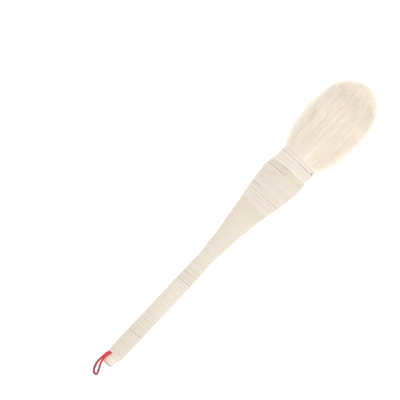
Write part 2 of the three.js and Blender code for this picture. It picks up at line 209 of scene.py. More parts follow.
class Nodes:
    """Small helper that makes one material's node tree."""

    def __init__(self, name, **settings):
        self.mat = bpy.data.materials.new(name)
        self.mat.use_nodes = True
        self.tree = self.mat.node_tree
        self.tree.nodes.clear()
        self.out = self.tree.nodes.new("ShaderNodeOutputMaterial")
        self.bsdf = self.tree.nodes.new("ShaderNodeBsdfPrincipled")
        self.tree.links.new(self.bsdf.outputs[0], self.out.inputs[0])
        for key, value in settings.items():
            self.bsdf.inputs[key.replace("_", " ")].default_value = value

    def node(self, kind, inputs=None, **props):
        n = self.tree.nodes.new("ShaderNode" + kind)
        for k, v in props.items():
            setattr(n, k, v)
        for k, v in (inputs or {}).items():
            if isinstance(v, bpy.types.NodeSocket):
                self.tree.links.new(v, n.inputs[k])
            else:
                n.inputs[k].default_value = v
        return n

    def to(self, socket, name):
        self.tree.links.new(socket, self.bsdf.inputs[name])

    def uv(self, layer, scale=(1, 1, 1)):
        n = self.node("UVMap", uv_map=layer)
        return self.node("Mapping", {"Vector": n.outputs[0], "Scale": scale}).outputs[0]

    def local(self, scale=(1, 1, 1), rotation=(0, 0, 0)):
        n = self.node("TexCoord")
        return self.node("Mapping", {"Vector": n.outputs["Object"], "Scale": scale, "Rotation": rotation}).outputs[0]

    def attribute(self, name):
        return self.node("Attribute", attribute_name=name).outputs["Fac"]

    def noise(self, vector, scale, detail=3.0, roughness=0.5, distortion=0.0):
        return self.node("TexNoise", {"Vector": vector, "Scale": scale, "Detail": detail,
                                      "Roughness": roughness, "Distortion": distortion}).outputs["Fac"]

    def ramp(self, fac, stops, mode="LINEAR"):
        n = self.node("ValToRGB", {"Fac": fac})
        r = n.color_ramp
        r.interpolation = mode
        while len(r.elements) > 1:
            r.elements.remove(r.elements[0])
        r.elements[0].position, first = stops[0]
        r.elements[0].color = self.rgba(first)
        for position, colour in stops[1:]:
            r.elements.new(position).color = self.rgba(colour)
        return n.outputs[0]

    @staticmethod
    def rgba(c):
        return (c, c, c, 1) if isinstance(c, (int, float)) else (*c, 1)

    def mix(self, fac, a, b, blend="MIX"):
        n = self.node("Mix", data_type="RGBA", blend_type=blend)
        for k, v in ((0, fac), (6, a), (7, b)):
            if isinstance(v, bpy.types.NodeSocket):
                self.tree.links.new(v, n.inputs[k])
            else:
                n.inputs[k].default_value = self.rgba(v) if k else v
        return n.outputs[2]

    def math(self, op, *values, clamp=False):
        return self.node("Math", dict(enumerate(values)), operation=op, use_clamp=clamp).outputs[0]

    def scaled(self, fac, low, high, to_low, to_high):
        return self.node("MapRange", {"Value": fac, "From Min": low, "From Max": high,
                                      "To Min": to_low, "To Max": to_high}).outputs[0]

    def bump(self, height, distance, strength=1.0, normal=None):
        n = self.node("Bump", {"Height": height, "Distance": distance, "Strength": strength})
        if normal is not None:
            self.tree.links.new(normal, n.inputs["Normal"])
        return n.outputs[0]


# ------------------------------------------------------------------ camera
# Straight down across the tilted brush, so that the turns of cane are seen edge to edge.
SIZE = 400
DISTANCE = 0.75
BRUSH_PX = (105.0, 364.7), (370.5, 85.1)      # where the tail face and the hair tip fall in the view
LENGTH = 190.8
p0 = complex(BRUSH_PX[0][0] - SIZE / 2, SIZE / 2 - BRUSH_PX[0][1])
p1 = complex(BRUSH_PX[1][0] - SIZE / 2, SIZE / 2 - BRUSH_PX[1][1])
k = (p1 - p0) / LENGTH                          # pixels for each mm, and the roll
centre = -p0 / k                                # brush point in the middle of the view
cam_data = bpy.data.cameras.new("camera")
cam_data.sensor_width = 36
cam_data.lens = abs(k) * 1000 * DISTANCE * 36 / SIZE
cam_data.clip_start, cam_data.clip_end = 0.01, 20
cam = bpy.data.objects.new("camera", cam_data)
bpy.context.collection.objects.link(cam)
e_u, e_y, e_z = Vector((COS, 0, SIN)), Vector((0, 1, 0)), Vector((-SIN, 0, COS))
roll = math.atan2(k.imag, k.real)
right = e_u * math.cos(roll) - e_y * math.sin(roll)
up = e_u * math.sin(roll) + e_y * math.cos(roll)
middle = Vector(place([centre.real, centre.imag, 0], bowed=False))
m = Matrix((right, up, e_z)).transposed().to_4x4()
m.translation = middle + e_z * DISTANCE
cam.matrix_world = m
bpy.context.scene.camera = cam

# ------------------------------------------------------------------ red hanging cord
def spline(points, step):
    """Centripetal curve through points, resampled every step."""
    p = np.asarray(points, float)
    p = np.vstack([2 * p[0] - p[1], p, 2 * p[-1] - p[-2]])
    out = []
    for i in range(1, len(p) - 2):
        q = p[i - 1:i + 3]
        t = np.concatenate([[0], np.cumsum(np.sqrt(np.linalg.norm(np.diff(q, axis=0), axis=1)))])
        for s in np.linspace(t[1], t[2], 24, endpoint=False):
            a = [(t[j + 1] - s) / (t[j + 1] - t[j]) * q[j] + (s - t[j]) / (t[j + 1] - t[j]) * q[j + 1] for j in range(3)]
            b = [(t[j + 2] - s) / (t[j + 2] - t[j]) * a[j] + (s - t[j]) / (t[j + 2] - t[j]) * a[j + 1] for j in range(2)]
            out.append((t[2] - s) / (t[2] - t[1]) * b[0] + (s - t[1]) / (t[2] - t[1]) * b[1])
    out = np.array(out + [p[-2]])
    length = np.concatenate([[0], np.cumsum(np.linalg.norm(np.diff(out, axis=0), axis=1))])
    n = max(2, int(round(length[-1] / step)) + 1)
    at = np.linspace(0, length[-1], n)
    return np.stack([np.interp(at, length, out[:, c]) for c in range(3)], -1), length[-1]


def frames(path):
    """Tangent and two normals along a path, carried along without twist."""
    t = np.gradient(path, axis=0)
    t /= np.linalg.norm(t, axis=1, keepdims=True)
    n = np.cross(t[0], [0, 0, 1])
    n /= np.linalg.norm(n)
    ns = []
    for d in t:
        n = n - d * np.dot(n, d)
        n /= np.linalg.norm(n)
        ns.append(n)
    ns = np.array(ns)
    return t, ns, np.cross(t, ns)


def tube(path, n1, n2, radius, sides, phase=0.0):
    """Rings of a tube, with its quads and end fans; n1 and n2 span each ring."""
    a = 2 * np.pi * np.arange(sides) / sides + phase
    r = np.broadcast_to(np.asarray(radius, float), (len(path),))[:, None, None]
    ring = path[:, None] + r * (np.cos(a)[None, :, None] * n1[:, None] + np.sin(a)[None, :, None] * n2[:, None])
    m = len(path)
    i, s = np.meshgrid(np.arange(m - 1), np.arange(sides), indexing="ij")
    s2 = (s + 1) % sides
    quads = np.stack([i * sides + s, i * sides + s2, (i + 1) * sides + s2, (i + 1) * sides + s], -1).reshape(-1, 4)
    verts = np.vstack([ring.reshape(-1, 3), path[:1], path[-1:]])
    c0, c1 = m * sides, m * sides + 1
    tris = [(c0, (q + 1) % sides, q) for q in range(sides)]
    e = (m - 1) * sides
    tris += [(c1, e + q, e + (q + 1) % sides) for q in range(sides)]
    return verts, quads, np.array(tris)


def red_cord_material(name, layer=None):
    m = Nodes(name, Roughness=0.62, Specular_IOR_Level=0.35, Sheen_Weight=0.25, Sheen_Roughness=0.5)
    v = m.uv(layer, (1, 1, 1)) if layer else m.local((300, 1400, 1400))
    fibre = m.noise(v if not layer else m.uv(layer, (260, 14, 1)), 1.0, 3, 0.6)
    soft = m.noise(m.local((900, 900, 900)), 1.0, 2, 0.5)
    far = m.scaled(m.node("SeparateXYZ", {0: m.node("TexCoord").outputs["Object"]}).outputs[0],
                   FAR_X[0], FAR_X[1], 1.0, 0.0)
    base = m.ramp(fibre, [(0.25, (0.38, 0.006, 0.02)), (0.5, (0.70, 0.02, 0.045)), (0.78, (0.86, 0.06, 0.09))])
    base = m.mix(m.scaled(soft, 0.35, 0.7, 0.0, 0.22), base, (0.86, 0.10, 0.12))
    # darker red towards the far end of the loop, away from where the cord leaves the winding
    far_darker_red = m.ramp(fibre, [(0.25, (0.17, 0.006, 0.022)), (0.75, (0.33, 0.024, 0.056))])
    m.to(m.mix(m.math("MINIMUM", far, 0.9), base, far_darker_red), "Base Color")
    m.to(m.bump(fibre, 0.00004, 0.8), "Normal")
    return m.mat


lead = 0.8
route = np.array(LOOP)
start = route[0] + (route[0] - route[1]) / np.linalg.norm(route[0] - route[1]) * lead
finish = route[-1] + (route[-1] - route[-2]) / np.linalg.norm(route[-1] - route[-2]) * lead
route = np.vstack([start, route, finish])
FAR_X = ((ORIGIN[0] - 4.5) / 1000, (ORIGIN[0] + 3.5) / 1000)
line, cord_length = spline(route, 0.13)
t, n1, n2 = frames(line)
PITCH = 2.5
cord_verts, cord_quads, cord_tris, cord_uv = [], [], [], []
dist = np.concatenate([[0], np.cumsum(np.linalg.norm(np.diff(line, axis=0), axis=1))])
PLY_SIDES = 8
uneven = Wave(71)
for ply in range(3):
    a = 2 * np.pi * (dist / PITCH + ply / 3) + 0.35 * uneven(dist * 0.8 + 40 * ply)
    off = CORD_D / 2 * 0.55
    centre_line = line + off * (np.cos(a)[:, None] * n1 + np.sin(a)[:, None] * n2)
    tt, a1, a2 = frames(centre_line)
    v, q, f = tube(centre_line, a1, a2, CORD_D / 2 * 0.80 * (1 + 0.05 * uneven(dist * 2.2 + 90 * ply)), PLY_SIDES)
    base = sum(len(x) for x in cord_verts)
    cord_verts.append(v)
    cord_quads.append(q + base)
    cord_tris.append(f + base)
    ring, side = q[:, 0] // PLY_SIDES, q[:, 0] % PLY_SIDES
    for_quad = np.stack([
        np.stack([ring, side], -1), np.stack([ring, side + 1], -1),
        np.stack([ring + 1, side + 1], -1), np.stack([ring + 1, side], -1)], 1).astype(float)
    for_quad[..., 0] /= len(line)
    for_quad[..., 1] /= PLY_SIDES
    cord_uv.append((for_quad, np.zeros((len(f), 3, 2)) + np.array([[0.001, 0.001], [0.002, 0.001], [0.001, 0.002]]), ply))
quad_uv = np.concatenate([u[0] * [1, 0.3] + [0, 0.02 + u[2] * 0.33] for u in cord_uv]).reshape(-1, 2)
tri_uv = np.concatenate([u[1] + [0, u[2] * 0.33] for u in cord_uv]).reshape(-1, 2)
cord_piece = build("red_hanging_cord", table(np.vstack(cord_verts)), np.vstack(cord_quads), np.vstack(cord_tris),
                   {"OFBake": np.vstack([quad_uv, tri_uv])}, material=red_cord_material("red_cord_twist", "OFBake"))
tuple(table(route[0]))
[tuple(p) for p in table(line)]
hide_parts("hanging_cord_loop")
tuple(table((7.1, 2.6, 5.1)))
tuple(table((4.3, 2.6, 5.1)))
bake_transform(cord_piece)

# ------------------------------------------------------------------ cane
STEPS = 60                                       # rings for each turn


def turn_line(phi):
    """Line between two turns, phi in turns from +Y towards +Z round the handle."""
    x = np.asarray(phi, float) - 0.25
    n = len(TURNS) - 1
    i = np.clip(np.floor(x).astype(int), 0, n - 1)
    f = x - i
    # the first turns start out square to the handle and pick up their slant late in each round, and
    # the first edge of all dips towards the tail on the -Y side
    late = np.where((f > 0) & (f < 1), np.clip(f, 1e-6, 1) ** (1 + 4 * 0.55 ** i), f)
    dip = np.where(i == 0, 0.58 * (np.exp(-((x - 0.27) / 0.14) ** 2) - 0.024), 0)
    line_ = TURNS[i] + late * (TURNS[i + 1] - TURNS[i]) - dip
    return np.where(x < 0, TURNS[0] + x * 0.3, line_)


wander_a, wander_b = Wave(11), Wave(12)
lift_a, lift_b, tilt_a = Wave(13), Wave(14), Wave(15)
gap_a, gap_b = Wave(16), Wave(17)
tone_a, tone_b, hue_a = Wave(18), Wave(19), Wave(20)

# lines that stand open where the hand-wound turns don't close up: (where it crosses the top, extra
# width in mm, middle of the open stretch in turns from the top towards -Y, half its length in turns)
OPEN = [
    (9.0, 0.06, 0.06, 0.05), (16.0, 0.03, 0.10, 0.10), (17.3, 0.05, 0.09, 0.09), (21.8, 0.11, 0.0, 0.32),
    (26.1, 0.06, 0.04, 0.07), (30.4, 0.08, 0.0, 0.16), (51.8, 0.05, -0.08, 0.12), (56.95, 0.15, 0.0, 0.3),
    (58.5, 0.10, 0.02, 0.3), (61.4, 0.10, -0.02, 0.3), (64.2, 0.11, 0.04, 0.3), (114.0, 0.09, 0.10, 0.10),
    (116.9, 0.11, -0.13, 0.08), (124.2, 0.09, -0.15, 0.07), (128.6, 0.15, -0.10, 0.14), (131.7, 0.14, -0.026, 0.07)]


# how clearly the lines between the turns show: it scales the dip of the strip edges and the painted shade along them
cane_seam = curve([
    (6, .3), (12, .5), (14, 1.0), (27, .95), (32, .5), (50, .55), (56, .9), (66, .9), (70, .5), (80, .35), (92, .25),
    (106, .3), (110, 1.0), (122, 1.2), (128, 1.1), (132, .5), (137, .4), (139.4, .4)])


def line_at(phi):
    """Where a line really runs: the even helix, and the hand's unevenness."""
    return turn_line(phi) + 0.055 * wander_a(phi * 2.3) + 0.035 * wander_b(phi * 6.1)


def gap_at(phi):
    """Open width of the line at phi."""
    g = 0.010 + (0.026 * gap_a(phi * 1.9) + 0.018 * gap_b(phi * 5.3) + 0.014) * cane_seam(turn_line(phi))
    for u, width, mid, half in OPEN:
        i = int(np.argmin(np.abs(TURNS - u)))
        g = g + width * (1 - smooth(np.abs(phi - (i + 0.25 + mid)), half * 0.45, half))
    return np.maximum(g, 0.008)


def cane_bore(u):
    return np.where(u < 85.5, DOWEL_R + 0.3, DOWEL_R + 0.3 + (handle_r(u) - 0.8 - DOWEL_R - 0.3) * np.clip((u - 85.5) / 3, 0, 1))


# how light the cane is along the handle, and how yellow (0), cream (0.5) or pinkish (1); the low point at 130 to 131.7
# mm is painted shade on the neck turns, which lie in the hollow before the collar
cane_tone_and_shade = curve([
    (6, .35), (20, .4), (30, .5), (45, .55), (60, .6), (70, .55), (75, .5), (85, .45), (95, .5), (100, .4), (104, .3),
    (107.5, .35), (109, .75), (113, .65), (117, .7), (122, .6), (128, .6), (130, .35), (131.7, .3), (132.5, .85),
    (137, .8), (139.4, .75)])
cane_hue = curve([
    (6, .5), (60, .5), (70, .6), (80, .5), (95, .3), (100, .05), (104, .1), (107.5, .3), (109, .6), (113, .6), (117, .5),
    (119, .3), (122, .8), (124.5, .4), (128, .3), (130, .1), (131.7, .1), (132.5, .6), (137, .7), (139.4, .65)])

CROWN = 13                                       # points across the strip's outside


def cane_strip(name, phi, a, b, lift, edge=CANE_EDGE, taper=(0, 0), seed=0):
    """One length of half-round strip.  a and b are its two edges along phi, in mm."""
    n = len(phi)
    t = np.sin(np.linspace(-1, 1, CROWN) * np.pi / 2 * 0.96) / math.sin(np.pi / 2 * 0.96)
    mid, half = (a + b) / 2, (b - a) / 2
    seam = np.clip(cane_seam(mid) * (1 + 0.6 * wander_a(phi * 0.8 + 50)), 0.1, 1)
    dip = edge * (0.30 * np.abs(t) ** 2 + 0.70 * np.abs(t) ** 5)[None] * (0.45 + 0.55 * seam)[:, None]
    lean = 0.05 * tilt_a(phi * 1.7 + seed)
    fibre = Field(100 + seed, 7, 2048)
    u = mid[:, None] + half[:, None] * t[None]
    groove = 0.016 * fibre((t[None] * 0.48 + 0.5) * 0.999, (phi[:, None] * 5.1)) * (1 - np.abs(t[None]) ** 4)
    r = handle_r(u) + lift[:, None] + lean[:, None] * t[None] - dip + groove
    # tapered ends, thinned down to be tucked in
    for k, (length, at_end) in enumerate(((taper[0], False), (taper[1], True))):
        if length:
            along = (phi[-1] - phi if at_end else phi - phi[0]) / length
            r -= (0.5 * (1 - smooth(along, 0, 1)))[:, None]
    inner = cane_bore(u[:, [-1, 0]]) + np.minimum(lift, 0)[:, None] * 0
    wall = np.stack([np.stack([b, r[:, -1] * 0.5 + inner[:, 0] * 0.5], -1), np.stack([b - 0.03, inner[:, 0]], -1),
                     np.stack([a + 0.03, inner[:, 1]], -1), np.stack([a, r[:, 0] * 0.5 + inner[:, 1] * 0.5], -1)], 1)
    uu = np.concatenate([u, wall[..., 0]], 1)
    rr = np.concatenate([r, wall[..., 1]], 1)
    m = uu.shape[1]
    ang = (phi * 2 * np.pi)[:, None]
    verts = np.stack([uu, rr * np.cos(ang), rr * np.sin(ang)], -1).reshape(-1, 3)
    i, s = np.meshgrid(np.arange(n - 1), np.arange(m), indexing="ij")
    s2 = (s + 1) % m
    quads = np.stack([i * m + s, (i + 1) * m + s, (i + 1) * m + s2, i * m + s2], -1).reshape(-1, 4)
    # end caps: a strip of quads between the crown and the walls would cross itself, so fans from the middle
    e = (n - 1) * m
    cap0 = np.array([verts[:m].mean(0)])
    cap1 = np.array([verts[e:e + m].mean(0)])
    verts = np.vstack([verts, cap0, cap1])
    c0, c1 = n * m, n * m + 1
    tris = np.array([(c0, s_, (s_ + 1) % m) for s_ in range(m)] + [(c1, e + (s_ + 1) % m, e + s_) for s_ in range(m)])
    # texture coordinates: metres along the strip, and across it
    along = np.concatenate([[0], np.cumsum(np.hypot(np.diff(phi) * 2 * np.pi * handle_r(mid[:-1]), np.diff(mid)))]) / 1000
    across = np.concatenate([(t + 1) / 2 * 0.6 + 0.2, [0.86, 0.95, 0.05, 0.14]])
    ii, ss = quads[:, 0] // m, quads[:, 0] % m
    jj, kk = np.where(ss == m - 1, 0, ss + 1), ss
    wrap = ss == m - 1
    v0, v1 = across[ss], np.where(wrap, across[0], across[(ss + 1) % m])
    v1 = np.where(ss == CROWN + 1, 1.0, v1)      # the bottom face runs off both edges of the map
    v0 = np.where(ss == CROWN + 1, across[ss], v0)
    cane_uv = np.stack([np.stack([along[ii], v0], -1), np.stack([along[ii + 1], v0], -1),
                        np.stack([along[ii + 1], v1], -1), np.stack([along[ii], v1], -1)], 1)
    # compact layout: one row for each turn
    turns = (phi - phi[0])
    rows = int(math.ceil(turns[-1] + 1e-6))
    row = np.floor(turns[ii] + 1e-9)
    x0, x1 = turns[ii] - row, turns[ii + 1] - row
    girth = np.linspace(0.04, 0.96, m + 1)
    y0, y1 = (row + girth[ss]) / rows, (row + girth[ss + 1]) / rows
    x0, x1 = 0.002 + x0 * 0.99, 0.002 + np.minimum(x1, 1.008) * 0.99
    bake = np.stack([np.stack([x0, y0], -1), np.stack([x1, y0], -1), np.stack([x1, y1], -1), np.stack([x0, y1], -1)], 1)
    cap_bake = np.tile(np.array([[0.9945, 0.002], [0.9975, 0.002], [0.996, 0.006]]), (len(tris), 1, 1))
    cap_uv = np.tile(np.array([[0, 0.5], [0.0004, 0.4], [0.0004, 0.6]]), (len(tris), 1, 1))
    tone = cane_tone_and_shade(mid) + 0.12 * tone_a(phi * 0.9) + 0.10 * tone_b(phi * 3.1)
    hue = cane_hue(mid) + 0.20 * hue_a(phi * 0.7)
    rep = lambda x: np.concatenate([np.repeat(x, m), [x[0], x[-1]]])
    obj = build(name, place(verts), quads, tris,
                {"OFBake": np.concatenate([bake.reshape(-1, 2), cap_bake.reshape(-1, 2)]),
                 "Cane": np.concatenate([cane_uv.reshape(-1, 2), cap_uv.reshape(-1, 2)])},
                {"tone": rep(tone), "hue": rep(hue), "seam": rep(seam)})
    return obj


def cane_material():
    m = Nodes("rattan_cane", Specular_IOR_Level=0.22)
    tone, hue = m.attribute("tone"), m.attribute("hue")
    across = m.node("SeparateXYZ", {0: m.node("UVMap", uv_map="Cane").outputs[0]}).outputs[1]
    streak = m.noise(m.uv("Cane", (55, 9, 1)), 1.0, 4, 0.6)
    fine = m.noise(m.uv("Cane", (160, 34, 1)), 1.0, 3, 0.6)
    cloud = m.noise(m.local((260, 260, 260)), 1.0, 3, 0.55)
    pores = m.noise(m.uv("Cane", (420, 60, 1)), 1.0, 2, 0.5)
    base = m.ramp(tone, [(0.0, (0.55, 0.475, 0.38)), (0.35, (0.665, 0.585, 0.50)), (0.65, (0.74, 0.665, 0.58)), (1.0, (0.82, 0.76, 0.695))])
    tint = m.ramp(hue, [(0.1, (0.72, 0.61, 0.42)), (0.4, (0.735, 0.655, 0.54)), (0.6, (0.73, 0.65, 0.585)), (0.9, (0.755, 0.615, 0.545))])
    c = m.mix(0.35, base, tint)
    c = m.mix(m.scaled(streak, 0.3, 0.75, 0.0, 0.40), c, (0.82, 0.775, 0.71))
    c = m.mix(m.scaled(fine, 0.50, 0.72, 0.0, 0.22), c, (0.56, 0.47, 0.35))
    c = m.mix(m.scaled(cloud, 0.35, 0.72, 0.0, 0.16), c, (0.64, 0.55, 0.41))
    c = m.mix(m.scaled(pores, 0.62, 0.74, 0.0, 0.30), c, (0.42, 0.32, 0.21))
    # painted shade: the strip's edges are mixed towards dark brown along the lines between the turns, scaled by seam,
    # for the shade in the crease where two turns meet
    edge = m.ramp(across, [(0.12, 0.85), (0.215, 0.26), (0.28, 0.0), (0.72, 0.0), (0.785, 0.26), (0.88, 0.85)])
    blotch = m.noise(m.local((420, 420, 420)), 1.0, 1, 0.4)
    c = m.mix(m.scaled(blotch, 0.50, 0.70, 0.0, 0.30), c, (0.76, 0.60, 0.49))
    c = m.mix(m.scaled(blotch, 0.50, 0.32, 0.0, 0.30), c, (0.64, 0.61, 0.43))
    c = m.mix(m.math("MULTIPLY", edge, m.attribute("seam"), clamp=True), c, (0.44, 0.34, 0.22))
    m.to(c, "Base Color")
    m.to(m.scaled(fine, 0.2, 0.8, 0.45, 0.65), "Roughness")
    h = m.math("ADD", m.math("MULTIPLY", fine, 0.6), m.math("MULTIPLY", pores, -0.5))
    m.to(m.bump(h, 0.00006, 0.6), "Normal")
    return m.mat


CANE = cane_material()
stop = BAND[0] - 0.02
for index, (name, first, last) in enumerate(STRIPS):
    begin = WIND_FROM if first < 0 else first - 1 + JOIN_AT
    end = last - 1 + JOIN_AT
    joint = 0.12 / (2 * math.pi * float(handle_r(TURNS[min(last, len(TURNS) - 1)])))
    if name == "cane_winding_collar":
        while stop - float(turn_line(end)) < 0.42:
            end -= 0.01
    begin += joint if first >= 0 else 0
    end -= joint
    phi = np.linspace(begin, end, int(round((end - begin) * STEPS)) + 1)
    a = line_at(phi) + gap_at(phi) / 2
    b = line_at(phi + 1) - gap_at(phi + 1) / 2
    if name == "cane_winding_collar":
        hollow = 0.13 * (1 - smooth(np.abs(phi % 1 - 0.31), 0.04, 0.10))
        b = np.where(b > BAND[0] - 0.5, stop - hollow, b)
    if first < 0:                                 # nothing lies before the first turn, so its edge is free
        a = np.where(phi < 1.25, turn_line(phi) + 0.06 + 0.04 * wander_a(phi * 2.3), a)
    lift = 0.030 * lift_a(phi * 1.3) + 0.022 * lift_b(phi * 4.7) - 0.01
    piece = cane_strip(name + "_strip", phi, a, b, lift, seed=index, taper=(0.05 if first < 0 else 0, 0))
    piece.data.materials.append(CANE)
    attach(piece, "handle")
    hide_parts(name)

joint = 0.66 / (2 * math.pi * float(handle_r(PIN_U)))
pin_phi = PIN_ANGLE / (2 * math.pi)
phi = np.linspace(pin_phi + joint / 2, pin_phi + 1 - joint / 2, 130)
a = np.full(len(phi), BAND[0]) + 0.03 * wander_a(phi * 7)
b = np.full(len(phi), BAND[1]) + 0.03 * wander_b(phi * 5)
piece = cane_strip("cane_collar_band_strip", phi, a, b, BAND_LIFT + 0.02 * lift_a(phi * 6), seed=9)
piece.data.materials.append(CANE)
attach(piece, "handle")
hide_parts("cane_collar_band")

# ------------------------------------------------------------------ core stick
def wood_material():
    m = Nodes("dowel_wood", Specular_IOR_Level=0.35)
    grain = m.noise(m.local((45, 900, 900)), 1.0, 4, 0.6, 0.4)
    ray = m.noise(m.local((160, 2600, 2600)), 1.0, 2, 0.5)
    c = m.ramp(grain, [(0.3, (0.66, 0.51, 0.385)), (0.5, (0.80, 0.665, 0.545)), (0.7, (0.85, 0.75, 0.66))])
    c = m.mix(m.scaled(ray, 0.55, 0.7, 0.0, 0.35), c, (0.52, 0.36, 0.25))
    # the tail face and its rounded rim are mixed towards dark grey: partly the darker end grain, partly painted shade
    # on the rim
    end = m.scaled(m.node("SeparateXYZ", {0: m.node("TexCoord").outputs["Object"]}).outputs[0],
                   (ORIGIN[0] + TAIL_FACE + 0.25) / 1000, (ORIGIN[0] + TAIL_FACE + 0.95) / 1000, 0.85, 0.0)
    c = m.mix(end, c, (0.30, 0.28, 0.27))
    m.to(c, "Base Color")
    m.to(m.scaled(ray, 0.2, 0.8, 0.45, 0.7), "Roughness")
    m.to(m.bump(grain, 0.00005, 0.5), "Normal")
    return m.mat


sides = 120
profile = np.array(
    [(TAIL_FACE + a_, b_) for a_, b_ in ((0.04, 0.9), (0.0, 1.4), (0.03, 1.75), (0.10, 2.08), (0.2, 2.33), (0.36, 2.58),
                                         (0.58, 2.78), (0.85, 2.92), (1.15, 3.0))]
    + [(u, DOWEL_R) for u in (2.4, 2.8, 3.2, 3.7, 4.2, 4.8, 5.4, 5.9, 6.0, 6.1, 6.2, 6.6, 7, 9, 12, 15, 18, 20.5, 20.65, 20.8, 24, 30, 40, 55, 70, 85, 100, 106)]
    + [(109, 2.55), (112, 1.9), (111.98, 0.9)])
ang = 2 * np.pi * np.arange(sides) / sides
uu, rr = np.repeat(profile[:, :1], sides, 1), np.repeat(profile[:, 1:], sides, 1)
rough = Field(33, 9)
rr = rr + 0.02 * rough(np.broadcast_to(ang / (2 * np.pi), uu.shape), uu * 0.6) * (uu > TAIL_FACE + 0.3)
slot_angle = math.radians(19)
d = (ang - slot_angle + np.pi) % (2 * np.pi) - np.pi
inside = np.abs(np.sin(d)) * 2.7 < 1.5
depth = np.where(inside & (np.cos(d) > 0), 2.02 / np.cos(np.clip(d, -1.2, 1.2)), 99)
open_ = smooth(uu, 5.9, 6.2) * (1 - smooth(uu, 20.6, 20.75))
rr = np.where(depth[None] < rr, rr + (depth[None] - rr) * open_, rr)
verts = np.stack([uu, rr * np.cos(ang), rr * np.sin(ang)], -1).reshape(-1, 3)
n = len(profile)
i, s = np.meshgrid(np.arange(n - 1), np.arange(sides), indexing="ij")
s2 = (s + 1) % sides
quads = np.stack([i * sides + s, (i + 1) * sides + s, (i + 1) * sides + s2, i * sides + s2], -1).reshape(-1, 4)
verts = np.vstack([verts, [[TAIL_FACE + 0.06, 0, 0], [111.97, 0, 0]]])
c0, c1, e = n * sides, n * sides + 1, (n - 1) * sides
tris = np.array([(c0, q, (q + 1) % sides) for q in range(sides)] + [(c1, e + (q + 1) % sides, e + q) for q in range(sides)])
stick = build("core_stick", place(verts), quads, tris, material=wood_material())
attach(stick, "handle")
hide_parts("core_dowel")

# ------------------------------------------------------------------ pin
def pin_material():
    m = Nodes("pin_brass", Metallic=0.6)
    n1_ = m.noise(m.local((2500, 2500, 2500)), 1.0, 3, 0.6)
    m.to(m.ramp(n1_, [(0.35, (0.16, 0.11, 0.07)), (0.6, (0.30, 0.22, 0.15)), (0.8, (0.48, 0.38, 0.27))]), "Base Color")
    m.to(m.scaled(n1_, 0.2, 0.8, 0.3, 0.6), "Roughness")
    m.to(m.bump(n1_, 0.00003, 0.5), "Normal")
    return m.mat


r = float(handle_r(PIN_U))
pin_profile = [(r - 2.9, 0.0), (r - 2.6, 0.16), (r - 2.3, 0.25), (r + 0.1, 0.25), (r + 0.1, 0.47), (r + 0.14, 0.5), (r + 0.2, 0.5),
               (r + 0.27, 0.45), (r + 0.34, 0.34), (r + 0.39, 0.2), (r + 0.41, 0.0)]
sides = 24
ang = 2 * np.pi * np.arange(sides) / sides
axis_ = np.array([0, math.cos(PIN_ANGLE), math.sin(PIN_ANGLE)])
side_ = np.array([0, -math.sin(PIN_ANGLE), math.cos(PIN_ANGLE)])
verts = []
for h, q in pin_profile[1:-1]:
    for a_ in ang:
        verts.append(np.array([PIN_U, 0, 0]) + h * axis_ + q * (math.cos(a_) * np.array([1, 0, 0]) + math.sin(a_) * side_))
verts += [np.array([PIN_U, 0, 0]) + pin_profile[0][0] * axis_, np.array([PIN_U, 0, 0]) + pin_profile[-1][0] * axis_]
n = len(pin_profile) - 2
i, s = np.meshgrid(np.arange(n - 1), np.arange(sides), indexing="ij")
s2 = (s + 1) % sides
quads = np.stack([i * sides + s, (i + 1) * sides + s, (i + 1) * sides + s2, i * sides + s2], -1).reshape(-1, 4)
c0, c1, e = n * sides, n * sides + 1, (n - 1) * sides
tris = np.array([(c0, q, (q + 1) % sides) for q in range(sides)] + [(c1, e + (q + 1) % sides, e + q) for q in range(sides)])
pin = build("pin_with_head", place(np.array(verts)), quads, tris, material=pin_material())
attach(pin, "handle")
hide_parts("strip_end_pin")

# ------------------------------------------------------------------ hair
HAIR_FROM = 139.1
BLEND = (140.6, 163.5)
rng = np.random.default_rng(2024)
def calm(field, low, high):
    return lambda turn, along: np.clip(field(turn, along), low, high)


streaks = calm(Field(51, 34, 64), -1.5, 0.9)
locks = calm(Field(52, 75, 64), -1.6, 1.1)
drift = Field(63, 13, 64)
lines = Field(55, 160, 64)
shades = Field(57, 112, 64)
sag = Wave(54)


def free_r(u):
    """Radius that the outermost hair would have if it went on to the tip."""
    u = np.asarray(u, float)
    inside_ = np.where(u < 140.4, np.interp(u, [139.1, 139.4, 139.48, 139.9, 140.4], [8.9, 9.0, 9.85, 10.25, 10.5]), hair_r(u))
    return np.where(u < 165, inside_, 15.9 - 0.0016 * np.clip(u - 165, 0, None) ** 2)


def put_hair(points):
    """Brush mm to row frame metres."""
    p = place(points)
    return p


